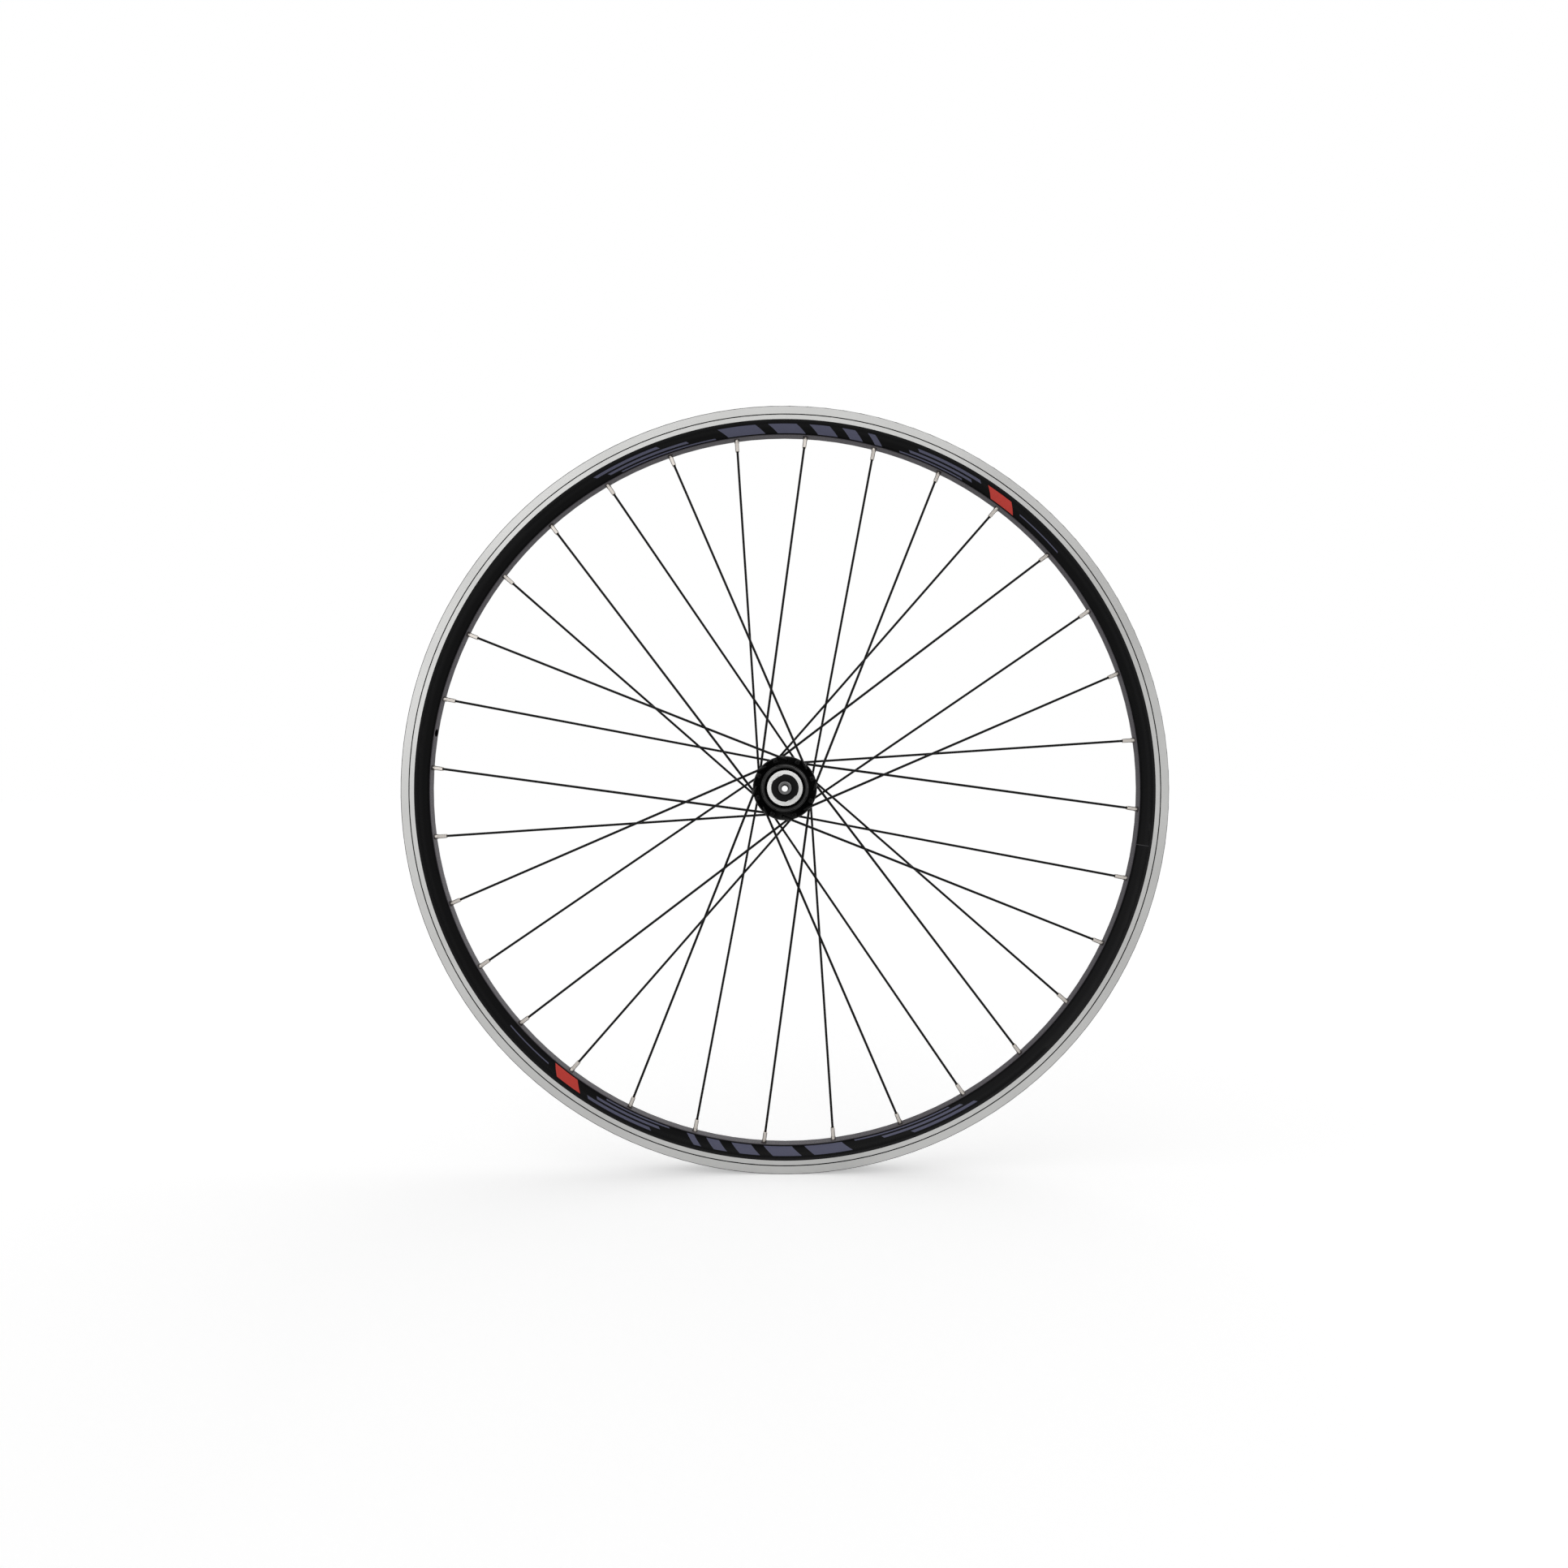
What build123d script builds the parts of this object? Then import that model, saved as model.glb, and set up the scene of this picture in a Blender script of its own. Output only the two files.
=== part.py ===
from build123d import *
import os
from math import atan2, cos, degrees, hypot, radians, sin, tan

# Rear bicycle wheel for a rim brake: 622 mm tyre seat, 32 spokes crossed three times,
# a hub with cup-and-cone bearings on a hollow axle, and a splined freehub with a ratchet.
# Millimetres. The origin is the wheel's centre, the axle lies along Y and Z is up.
# The freehub is on the +Y side. An angle is counted from +X towards +Z.

# Rim
TYRE_SEAT_DIAMETER = 622.0
RIM_EDGE_HEIGHT = 6.0
RIM_INNER_WIDTH = 17.0
RIM_DEPTH = 21.6
TRACK_WALL = 1.7
HOOK_REACH = 0.8
TRACK_DEPTH = 11.5
TRACK_EDGE_STEP = 1.3
TRACK_EDGE_INSET = 0.7
GROOVE_BELOW_EDGE = 7.1
GROOVE_WIDTH = 0.8
GROOVE_DEPTH = 0.35
HOOK_HEIGHT = 1.6
LIP_ROUND = 0.6
WELL_DROP = 2.4
WELL_WIDTH = 8.0
SHELF_WIDTH = 3.0
BRIDGE_WALL = 1.7
BODY_WALL = 1.5
BED_WALL = 1.6
BED_WIDTH = 8.0
SIDE_BULGE = 1.3
ACCESS_HOLE_DIAMETER = 8.6
VALVE_HOLE_DIAMETER = 6.5
VALVE_ANGLE = 170.955

# Spokes and nipples
SPOKE_COUNT = 32
CROSSINGS = 3
SPOKE_DIAMETER = 2.0
SPOKE_GAP = 0.1
ELBOW_RADIUS = 2.2
LACE_RADIUS = 60.0
SPOKE_HEAD_DIAMETER = 4.2
SPOKE_HEAD_HEIGHT = 1.5
SPOKE_HEAD_EDGE = 0.5
SPOKE_PAST_SEAT = 1.2
NIPPLE_SHANK_DIAMETER = 4.0
NIPPLE_FLATS = 3.3
NIPPLE_SHANK_LENGTH = 12.4
NIPPLE_ROUND_LENGTH = 5.2
NIPPLE_HEAD_DIAMETER = 6.0
NIPPLE_HEAD_HEIGHT = 2.0
NIPPLE_CONE = 1.0
NIPPLE_TIP_CHAMFER = 0.4
NIPPLE_SLOT_WIDTH = 1.0
NIPPLE_SLOT_DEPTH = 0.7
NIPPLE_HOLE_GAP = 0.3
NIPPLE_BORE_GAP = 0.06
NIPPLE_SEAT_LIFT = 1.1

# Axle and the pieces locked to it
LOCKNUT_SPAN = 135.0
AXLE_PAST_NUT = 5.5
AXLE_DIAMETER = 10.0
AXLE_END_DIAMETER = 9.6
AXLE_END_GAP = 0.1
AXLE_BORE = 5.5
AXLE_CHAMFER = 0.7
THREAD_GAP = 0.03
LOCKNUT_DIAMETER = 21.0
LOCKNUT_FLATS = 18.9
LOCKNUT_THICKNESS = 4.5
LOCKNUT_RECESS_DIAMETER = 11.8
LOCKNUT_RECESS_DEPTH = 0.6
LOCKNUT_FLAT_ANGLE = 122.0
LOCKNUT_CHAMFER = 0.5
SPACER_DIAMETER = 16.0
RIGHT_SPACER = 3.5
CONE_NECK_DIAMETER = 16.8
CONE_FLATS = 15.0
CONE_LAND = 2.2
CONE_NOSE = 2.2

# Main bearings
BALL_DIAMETER = 6.35
BALL_COUNT = 9
BALL_CIRCLE_DIAMETER = 19.4
RACE_GAP = 0.1
CUP_WALL = 1.1
CUP_BACK = 5.0
CUP_FRONT = 2.5
LEFT_BALLS_FROM_FLANGE = 6.4
LEFT_CONE_NECK = 8.1
RIGHT_CONE_NECK = 3.5
CAP_THICKNESS = 1.2
CAP_FROM_BALLS = 3.6
CAP_GAP = 0.3
CAP_SEAT = 0.8
CAP_HOLLOW = 0.3
CAP_SKIRT = 0.5

# Hub shell
LEFT_FLANGE_PLACE = 35.5
FLANGE_DIAMETER = 51.2
FLANGE_THICKNESS = 3.2
FLANGE_EDGE_THICKNESS = 2.4
FLANGE_ROUND = 0.9
HOLE_CIRCLE_DIAMETER = 45.0
SPOKE_HOLE_DIAMETER = 2.6
ELBOW_LIFT = 1.2
HEAD_GAP = 0.03
SHELL_END_CHAMFER = 1.9
SHELL_LIP_WALL = 0.7
SHELL_LIP_ROOM = 1.5
SHELL_LIP_DEPTH = 1.4
BARREL_DIAMETER = 29.0
BARREL_FLARE = 8.0
SHELL_BORE = 18.0
SHELL_SHOULDER = 3.4
SHELL_END_ROUND = 3.0
FLANGE_ROOT_ROUND = 1.0
BARREL_ROUND = 6.0
SEAT_GAP = 0.02
EDGE_ROUND = 0.4
SMALL_ROUND = 0.3

# Freehub
CORE_SOCKET_DIAMETER = 22.0
CORE_SOCKET_DEPTH = 7.5
CORE_DIAMETER = 24.0
CORE_KEY_COUNT = 12
CORE_KEY_DIAMETER = 2.0
BOLT_DIAMETER = 16.0
BOLT_HEAD_GAP = 0.4
BOLT_HEAD_LENGTH = 4.0
BOLT_HEAD_FROM_BALLS = 10.5
BOLT_THREAD_LENGTH = 8.0
BOLT_BORE = 11.0
BOLT_HEX = 12.0
BOLT_HEX_DEPTH = 3.2
DRIVER_GAP = 0.7
DRIVER_LENGTH = 35.3
DRIVER_FROM_FRAME = 6.0
DRIVER_BORE_GAP = 2.0
DRIVER_MOUTH_GAP = 0.8
SPLINE_DIAMETER = 34.6
SPLINE_COUNT = 9
SPLINE_GROOVE_WIDTH = 6.4
SPLINE_KEY_GROOVE_WIDTH = 4.4
SPLINE_DEPTH = 1.2
SHOULDER_DIAMETER = 37.0
SHOULDER_LENGTH = 2.5
DRIVER_BALL_DIAMETER = 3.175
DRIVER_BALL_COUNT = 24
INNER_ROW_FROM_START = 4.1
OUTER_ROW_FROM_BALLS = 7.5
CUP_SKIRT = 4.3

# Ratchet
RATCHET_TEETH = 24
RATCHET_DEPTH = 1.2
RATCHET_FROM_START = 7.0
RATCHET_LENGTH = 6.6
PAWL_COUNT = 2
PAWL_LENGTH = 5.0
PAWL_REACH = 5.6
PAWL_PIVOT_DROP = 0.4
PAWL_PIVOT_DIAMETER = 2.6
PAWL_TIP_TOP = 0.96
PAWL_TIP_BOTTOM = -0.7
PAWL_ANGLE = 40.0
PAWL_SWING = 12.0
PAWL_SOCKET_GAP = 0.06
PAWL_POCKET_ROOM = 0.9
SPRING_DROP = 1.4
SPRING_WIRE = 0.6
SPRING_ROOM = 0.3
SPRING_GAP_ANGLE = 24.0
TOOTH_GAP_ANGLE = 0.6

# Worked out from the sizes above
LEFT = -1
RIGHT = 1
SEAT_EDGE_RADIUS = TYRE_SEAT_DIAMETER / 2
RIM_RADIUS = SEAT_EDGE_RADIUS + RIM_EDGE_HEIGHT
RIM_HALF_WIDTH = RIM_INNER_WIDTH / 2 + HOOK_REACH + TRACK_WALL
BED_RADIUS = RIM_RADIUS - RIM_DEPTH
SEAT_RADIUS = BED_RADIUS + BED_WALL + NIPPLE_SEAT_LIFT
HOLE_RADIUS = HOLE_CIRCLE_DIAMETER / 2
RIM_PITCH = 360 / SPOKE_COUNT
FLANGE_PITCH = 2 * RIM_PITCH
LACING_ANGLE = CROSSINGS * FLANGE_PITCH
FIRST_RIM_HOLE = VALVE_ANGLE + RIM_PITCH / 2
SPOKES_PER_SET = SPOKE_COUNT // 4
SPOKE_RADIUS = SPOKE_DIAMETER / 2
RACE_RADIUS = BALL_DIAMETER / 2 + RACE_GAP
BALL_CIRCLE_RADIUS = BALL_CIRCLE_DIAMETER / 2
CUP_RADIUS = BALL_CIRCLE_RADIUS + RACE_RADIUS + CUP_WALL
CAP_RADIUS = CUP_RADIUS + SEAT_GAP
LIP_BORE_RADIUS = CAP_RADIUS + SHELL_LIP_ROOM
LIP_RADIUS = LIP_BORE_RADIUS + SHELL_LIP_WALL
SHELL_END_RADIUS = LIP_RADIUS + SHELL_END_CHAMFER
LAND_RADIUS = BALL_CIRCLE_RADIUS
THREAD_BORE_RADIUS = AXLE_DIAMETER / 2 + THREAD_GAP
LOCKNUT_PLACE = LOCKNUT_SPAN / 2 - LOCKNUT_THICKNESS
AXLE_LENGTH = LOCKNUT_SPAN + 2 * AXLE_PAST_NUT
LEFT_BALL_PLACE = LEFT_FLANGE_PLACE + LEFT_BALLS_FROM_FLANGE
RIGHT_CONE_END = LOCKNUT_PLACE - RIGHT_SPACER
RIGHT_BALL_PLACE = RIGHT_CONE_END - RIGHT_CONE_NECK - CONE_LAND - RACE_RADIUS
LIP_PLACE = LEFT_BALL_PLACE + CAP_FROM_BALLS + CAP_THICKNESS + SHELL_LIP_DEPTH
DRIVER_END = LOCKNUT_SPAN / 2 - DRIVER_FROM_FRAME
DRIVER_START = DRIVER_END - DRIVER_LENGTH
SHELL_RIGHT_END = DRIVER_START - DRIVER_GAP
RIGHT_FLANGE_PLACE = SHELL_RIGHT_END - SHELL_SHOULDER - FLANGE_THICKNESS / 2
CORE_RADIUS = CORE_DIAMETER / 2
CORE_END = RIGHT_BALL_PLACE + CAP_FROM_BALLS + CAP_THICKNESS
DRIVER_BORE_RADIUS = CORE_RADIUS + DRIVER_BORE_GAP
DRIVER_MOUTH_RADIUS = CUP_RADIUS + DRIVER_MOUTH_GAP
DRIVER_BALL_CIRCLE_RADIUS = CORE_RADIUS + DRIVER_BORE_GAP / 2
INNER_ROW_PLACE = DRIVER_START + INNER_ROW_FROM_START
OUTER_ROW_PLACE = RIGHT_BALL_PLACE - OUTER_ROW_FROM_BALLS
BOLT_HEAD_PLACE = RIGHT_BALL_PLACE - BOLT_HEAD_FROM_BALLS
PAWL_PLACE = DRIVER_START + RATCHET_FROM_START + RATCHET_LENGTH / 2
PAWL_PIVOT_RADIUS = CORE_RADIUS - PAWL_PIVOT_DROP
SPRING_RADIUS = CORE_RADIUS - SPRING_DROP
FLANGE_PLACES = {LEFT: LEFT_FLANGE_PLACE, RIGHT: RIGHT_FLANGE_PLACE}

# Place in the repeating group of four rim holes: (side, spoke runs outside its flange)
HOLE_ORDER = {(LEFT, False): 0, (RIGHT, False): 1, (LEFT, True): 2, (RIGHT, True): 3}
SET_NAMES = {
    (LEFT, True): "left_outer_spoke",
    (LEFT, False): "left_inner_spoke",
    (RIGHT, True): "right_outer_spoke",
    (RIGHT, False): "right_inner_spoke",
}


def turned(*corners):
    """Solid turned about the axle from (radius, place along the axle, corner rounding)."""
    outline = FilletPolyline(
        *[(r, y) for r, y, _ in corners],
        radius=[c for _, _, c in corners],
        close=True,
    )
    return revolve(make_face(outline.edges()), Axis.Y)


def ring(outer, inner, start, end):
    """Plain ring about the axle, from its two radii and its two ends."""
    return turned((inner, start, 0), (outer, start, 0), (outer, end, 0), (inner, end, 0))


def on_side(part, side):
    """A part drawn for the +Y side, turned over to its own side."""
    return part if side == RIGHT else part.rotate(Axis.Z, 180)


def around(part, angle):
    """The part carried round the axle by an angle, +X towards +Z."""
    return part.rotate(Axis.Y, -angle)


def polar(radius, angle):
    """Point (x, z) at a radius and an angle in the wheel's plane."""
    return Vector(radius * cos(radians(angle)), 0, radius * sin(radians(angle)))


def along_axle(radius, start, end):
    """Round bar about the axle between two places."""
    bar = Rot(-90, 0, 0) * Cylinder(radius, end - start)
    return Pos(0, (start + end) / 2, 0) * bar


def radial_plane(radius, angle):
    """Plane at a point of the wheel's middle, facing straight out."""
    point = polar(radius, angle)
    return Plane(origin=point, x_dir=(0, 1, 0), z_dir=point.normalized())


class Lacing:
    """Path of the first spoke of a set, in a plane through its hub hole along the axle."""

    def __init__(self, side, outside):
        turn = -1 if outside else 1
        self.side = side
        self.outside = outside
        self.rim_angle = FIRST_RIM_HOLE + HOLE_ORDER[side, outside] * RIM_PITCH
        hub = polar(HOLE_RADIUS, self.rim_angle + turn * LACING_ANGLE)
        seat = polar(SEAT_RADIUS, self.rim_angle)
        run = seat - hub
        self.length = run.length
        self.plane = Plane(
            origin=hub,
            x_dir=run,
            z_dir=run.cross(Vector(0, side, 0)),
        )
        # The outermost crossing lies half a flange pitch back from the rim hole.
        meet = polar(1, self.rim_angle + turn * FLANGE_PITCH / 2)
        unit = run.normalized()
        self.cross_at = (hub.Z * meet.X - hub.X * meet.Z) / (unit.X * meet.Z - unit.Z * meet.X)
        flange = FLANGE_PLACES[side]
        self.outer_face = flange + FLANGE_THICKNESS / 2
        self.inner_face = flange - FLANGE_THICKNESS / 2
        outer_bend = self.outer_face + SPOKE_RADIUS + ELBOW_LIFT
        inner_bend = self.inner_face - SPOKE_RADIUS - SPOKE_GAP
        left_to_rim = 1 - self.cross_at / self.length
        middle = left_to_rim * (outer_bend + inner_bend) / 2
        # The two spokes swap sides here, so each bends round the other.
        swap = SPOKE_RADIUS + SPOKE_GAP / 2
        self.bend = outer_bend if outside else inner_bend
        self.cross_height = middle - swap if outside else middle + swap
        self.head_face = self.inner_face - HEAD_GAP if outside else self.outer_face + HEAD_GAP

    def last_run(self):
        """Unit direction of the stretch that enters the nipple, in the spoke's own plane."""
        return Vector(self.length - self.cross_at, -self.cross_height).normalized()

    def nipple_plane(self):
        """Plane at the nipple's seat, facing along the spoke, away from the hub."""
        run = self.last_run()
        direction = self.plane.x_dir * run.X + self.plane.y_dir * run.Y
        return Plane(origin=self.plane.from_local_coords((self.length, 0, 0)), z_dir=direction)


def spoke(lacing):
    """One spoke: domed head, elbow through the flange, a slight bend where it is laced."""
    out = -1 if lacing.outside else 1
    tip = Vector(lacing.length, 0) + lacing.last_run() * SPOKE_PAST_SEAT
    path = FilletPolyline(
        (0, lacing.head_face + out * SPOKE_HEAD_EDGE),
        (0, lacing.bend),
        (lacing.cross_at, lacing.cross_height),
        (tip.X, tip.Y),
        radius=[ELBOW_RADIUS, LACE_RADIUS],
    )
    wire = sweep(Plane(origin=path @ 0, z_dir=path % 0) * Circle(SPOKE_RADIUS), path=path)
    head_radius = SPOKE_HEAD_DIAMETER / 2
    base = lacing.head_face
    edge = base + out * SPOKE_HEAD_EDGE
    top = base + out * SPOKE_HEAD_HEIGHT
    dome = Spline(
        (head_radius, edge),
        (0, top),
        tangents=[(0, out), (-1, 0)],
    )
    sides = Polyline((0, top), (0, base), (head_radius, base), (head_radius, edge))
    head = revolve(make_face(dome.edges() + sides.edges()), Axis.Y)
    return lacing.plane * (wire + head)


def nipple():
    """One nipple along Z, seat at the origin, head up, with flats for the key and a slot."""
    shank_radius = NIPPLE_SHANK_DIAMETER / 2
    head_radius = NIPPLE_HEAD_DIAMETER / 2
    outline = FilletPolyline(
        (0, -NIPPLE_SHANK_LENGTH),
        (shank_radius - NIPPLE_TIP_CHAMFER, -NIPPLE_SHANK_LENGTH),
        (shank_radius, NIPPLE_TIP_CHAMFER - NIPPLE_SHANK_LENGTH),
        (shank_radius, -NIPPLE_CONE),
        (head_radius, 0),
        (head_radius, NIPPLE_HEAD_HEIGHT),
        (0, NIPPLE_HEAD_HEIGHT),
        radius=[0, 0, 0, 0, 0, NIPPLE_HEAD_HEIGHT / 2, 0],
        close=True,
    )
    body = revolve(Plane.XZ * make_face(outline.edges()), Axis.Z)
    flat_length = NIPPLE_SHANK_LENGTH - NIPPLE_ROUND_LENGTH
    sleeve = Box(NIPPLE_HEAD_DIAMETER, NIPPLE_HEAD_DIAMETER, flat_length)
    sleeve -= Box(NIPPLE_FLATS, NIPPLE_FLATS, flat_length)
    body -= Pos(0, 0, flat_length / 2 - NIPPLE_SHANK_LENGTH) * sleeve
    body -= Cylinder(SPOKE_RADIUS + NIPPLE_BORE_GAP, 3 * NIPPLE_SHANK_LENGTH)
    slot = Box(NIPPLE_HEAD_DIAMETER, NIPPLE_SLOT_WIDTH, 2 * NIPPLE_SLOT_DEPTH)
    return body - Pos(0, 0, NIPPLE_HEAD_HEIGHT) * slot


def rim_section():
    """Half of the rim's section as (outer outline, inner chamber), radius first."""
    half = RIM_HALF_WIDTH
    wall = half - TRACK_WALL
    hook = RIM_INNER_WIDTH / 2
    seat = SEAT_EDGE_RADIUS
    well = seat - WELL_DROP
    shelf = wall - SHELF_WIDTH
    groove = RIM_RADIUS - GROOVE_BELOW_EDGE
    track_end = RIM_RADIUS - TRACK_DEPTH
    body_top = track_end - TRACK_EDGE_STEP
    body_half = half - TRACK_EDGE_INSET
    bed_half = BED_WIDTH / 2
    upper = FilletPolyline(
        (well, 0),
        (well, WELL_WIDTH / 2),
        (seat, shelf),
        (seat, wall),
        (RIM_RADIUS - HOOK_HEIGHT - (wall - hook), wall),
        (RIM_RADIUS - HOOK_HEIGHT, hook),
        (RIM_RADIUS, hook),
        (RIM_RADIUS, half),
        (groove + GROOVE_WIDTH / 2, half),
        (groove + GROOVE_WIDTH / 2, half - GROOVE_DEPTH),
        (groove - GROOVE_WIDTH / 2, half - GROOVE_DEPTH),
        (groove - GROOVE_WIDTH / 2, half),
        (track_end, half),
        (body_top, body_half),
        radius=[0, 0, 0, 0, 0, LIP_ROUND, LIP_ROUND, 0, 0, 0, 0, 0],
    )
    side = bulged((body_top, body_half), (BED_RADIUS, bed_half), SIDE_BULGE)
    bed = Line((BED_RADIUS, bed_half), (BED_RADIUS, 0))
    floor = BED_RADIUS + BED_WALL
    roof = well - BRIDGE_WALL
    roof_side = seat - BRIDGE_WALL
    chamber_half = half - TRACK_WALL - SEAT_GAP
    chamber_low = body_top + BODY_WALL / 2
    chamber = Polyline(
        (roof, 0),
        (roof, WELL_WIDTH / 2 + BODY_WALL / 2),
        (roof_side, shelf + BODY_WALL / 2),
        (roof_side, chamber_half),
        (chamber_low, chamber_half),
    )
    foot = bed_half - BODY_WALL / 2
    chamber_side = bulged((chamber_low, chamber_half), (floor, foot), SIDE_BULGE)
    chamber_bed = Line((floor, foot), (floor, 0))
    outline = upper.edges() + side.edges() + bed.edges()
    return outline, chamber.edges() + chamber_side.edges() + chamber_bed.edges()


def bulged(start, end, bulge):
    """Arc between two points of the section that swells out towards the hub."""
    chord = Vector(*end) - Vector(*start)
    out = Vector(chord.Y, -chord.X).normalized()
    if out.X > 0:
        out = -out
    middle = (Vector(*start) + Vector(*end)) / 2 + out * bulge
    return ThreePointArc(start, (middle.X, middle.Y), end)


def both_halves(edges):
    """Face from half a section's outline and its mirror image across the wheel's middle."""
    return make_face(edges + [e.mirror(Plane.XZ) for e in edges])


def rim(lacings):
    """Hollow double-wall rim with hooked edges, wear grooves, spoke, access and valve holes."""
    outline, chamber = rim_section()
    body = revolve(both_halves(outline) - both_halves(chamber), Axis.Y)
    hole_radius = NIPPLE_SHANK_DIAMETER / 2 + NIPPLE_HOLE_GAP
    hole_length = 4 * BED_WALL
    access_radius = (RIM_RADIUS + BED_RADIUS) / 2
    cuts = []
    for lacing in lacings:
        hole = Pos(0, 0, -hole_length / 2) * Cylinder(hole_radius, hole_length)
        hole = lacing.nipple_plane() * hole
        access = radial_plane(access_radius, lacing.rim_angle) * access_tool()
        for k in range(SPOKES_PER_SET):
            cuts.append(around(hole, k * 4 * RIM_PITCH))
            cuts.append(around(access, k * 4 * RIM_PITCH))
    valve = Cylinder(VALVE_HOLE_DIAMETER / 2, 2 * RIM_DEPTH)
    cuts.append(radial_plane(access_radius, VALVE_ANGLE) * valve)
    return body - cuts


def access_tool():
    """Bar that reaches from the rim's chamber out through the tyre well."""
    align = (Align.CENTER, Align.CENTER, Align.MIN)
    return Cylinder(ACCESS_HOLE_DIAMETER / 2, RIM_DEPTH, align=align)


def hub_shell(lacings):
    """Turned shell: bored for both bearings, with two flanges drilled for the spokes."""
    edge = FLANGE_DIAMETER / 2
    end = SHELL_END_RADIUS
    barrel = BARREL_DIAMETER / 2
    half = FLANGE_THICKNESS / 2
    rim_half = FLANGE_EDGE_THICKNESS / 2
    left = -LEFT_FLANGE_PLACE
    right = RIGHT_FLANGE_PLACE
    cap_place = LEFT_BALL_PLACE + CAP_FROM_BALLS + CAP_THICKNESS
    cup_back = LEFT_BALL_PLACE - CUP_BACK
    socket = CORE_SOCKET_DIAMETER / 2
    socket_place = SHELL_RIGHT_END - CORE_SOCKET_DEPTH
    thread_place = socket_place - BOLT_THREAD_LENGTH
    body = turned(
        (LIP_BORE_RADIUS, -LIP_PLACE, SMALL_ROUND),
        (LIP_RADIUS, -LIP_PLACE, SMALL_ROUND),
        (end, SHELL_END_CHAMFER - LIP_PLACE, SHELL_END_ROUND),
        (end, left - half, FLANGE_ROOT_ROUND),
        (edge, left - rim_half, FLANGE_ROUND),
        (edge, left + rim_half, FLANGE_ROUND),
        (end, left + half, FLANGE_ROOT_ROUND),
        (barrel, left + half + BARREL_FLARE, BARREL_ROUND),
        (barrel, right - half - BARREL_FLARE, BARREL_ROUND),
        (end, right - half, FLANGE_ROOT_ROUND),
        (edge, right - rim_half, FLANGE_ROUND),
        (edge, right + rim_half, FLANGE_ROUND),
        (end, right + half, FLANGE_ROOT_ROUND),
        (end, SHELL_RIGHT_END, EDGE_ROUND),
        (socket, SHELL_RIGHT_END, 0),
        (socket, socket_place, 0),
        (BOLT_DIAMETER / 2, socket_place, 0),
        (BOLT_DIAMETER / 2, thread_place, 0),
        (SHELL_BORE / 2, thread_place, 0),
        (SHELL_BORE / 2, -cup_back, 0),
        (CAP_RADIUS, -cup_back, 0),
        (CAP_RADIUS, -cap_place, 0),
        (LIP_BORE_RADIUS, -cap_place, 0),
    )
    cuts = []
    for lacing in lacings:
        hole = along_axle(SPOKE_HOLE_DIAMETER / 2, -FLANGE_THICKNESS, FLANGE_THICKNESS)
        place = lacing.plane.origin + Vector(0, lacing.side * FLANGE_PLACES[lacing.side], 0)
        hole = Pos(*place) * hole
        cuts += [around(hole, k * 4 * RIM_PITCH) for k in range(SPOKES_PER_SET)]
    return body - cuts + core_keys(SEAT_GAP)


def core_keys(less):
    """Round keys between the hub shell's socket and the freehub core."""
    start = SHELL_RIGHT_END - CORE_SOCKET_DEPTH + less
    key = along_axle(CORE_KEY_DIAMETER / 2 - less, start, SHELL_RIGHT_END - less)
    key = Pos(CORE_SOCKET_DIAMETER / 2, 0, 0) * key
    return [around(key, k * 360 / CORE_KEY_COUNT) for k in range(CORE_KEY_COUNT)]


def axle():
    """Hollow threaded axle with plain, chamfered ends that rest in the frame's dropouts."""
    bar = along_axle(AXLE_END_DIAMETER / 2, -AXLE_LENGTH / 2, AXLE_LENGTH / 2)
    bar = chamfer(bar.edges(), AXLE_CHAMFER)
    thread = LOCKNUT_SPAN / 2 + AXLE_END_GAP
    bar += along_axle(AXLE_DIAMETER / 2, -thread, thread)
    return bar - along_axle(AXLE_BORE / 2, -AXLE_LENGTH, AXLE_LENGTH)


def flats(across, start, end):
    """Two blocks that leave a pair of wrench flats, facing along X."""
    size = SHOULDER_DIAMETER
    block = Box(size, end - start, size)
    place = (across + size) / 2
    return [Pos(s * place, (start + end) / 2, 0) * block for s in (-1, 1)]


def locknut():
    """Locknut with a chamfered rim, a recess round the axle and two wrench flats."""
    radius = LOCKNUT_DIAMETER / 2
    recess = LOCKNUT_RECESS_DIAMETER / 2
    end = LOCKNUT_PLACE + LOCKNUT_THICKNESS
    body = turned(
        (THREAD_BORE_RADIUS, LOCKNUT_PLACE, 0),
        (radius, LOCKNUT_PLACE, LOCKNUT_CHAMFER),
        (radius, end, LOCKNUT_CHAMFER),
        (recess, end, 0),
        (THREAD_BORE_RADIUS, end - LOCKNUT_RECESS_DEPTH, 0),
    )
    body -= flats(LOCKNUT_FLATS, LOCKNUT_PLACE, end)
    return around(body, LOCKNUT_FLAT_ANGLE)


def cone(ball_place, neck):
    """Cone with its ball race, a land for the dust cap and a neck with wrench flats."""
    start = ball_place - CONE_NOSE
    land_end = ball_place + RACE_RADIUS + CONE_LAND
    end = land_end + neck
    neck_radius = CONE_NECK_DIAMETER / 2
    body = turned(
        (THREAD_BORE_RADIUS, start, 0),
        (LAND_RADIUS, start, 0),
        (LAND_RADIUS, land_end, SMALL_ROUND),
        (neck_radius, land_end, 0),
        (neck_radius, end, EDGE_ROUND),
        (THREAD_BORE_RADIUS, end, 0),
    )
    body -= race(ball_place, BALL_CIRCLE_RADIUS, RACE_RADIUS)
    body -= ring(CUP_RADIUS, BALL_CIRCLE_RADIUS - RACE_RADIUS, start - BALL_DIAMETER, ball_place)
    return body - flats(CONE_FLATS, land_end, end)


def race(place, circle_radius, tube_radius):
    """Ring-shaped tool that leaves a rounded ball track."""
    return Pos(0, place, 0) * (Rot(-90, 0, 0) * Torus(circle_radius, tube_radius))


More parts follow.
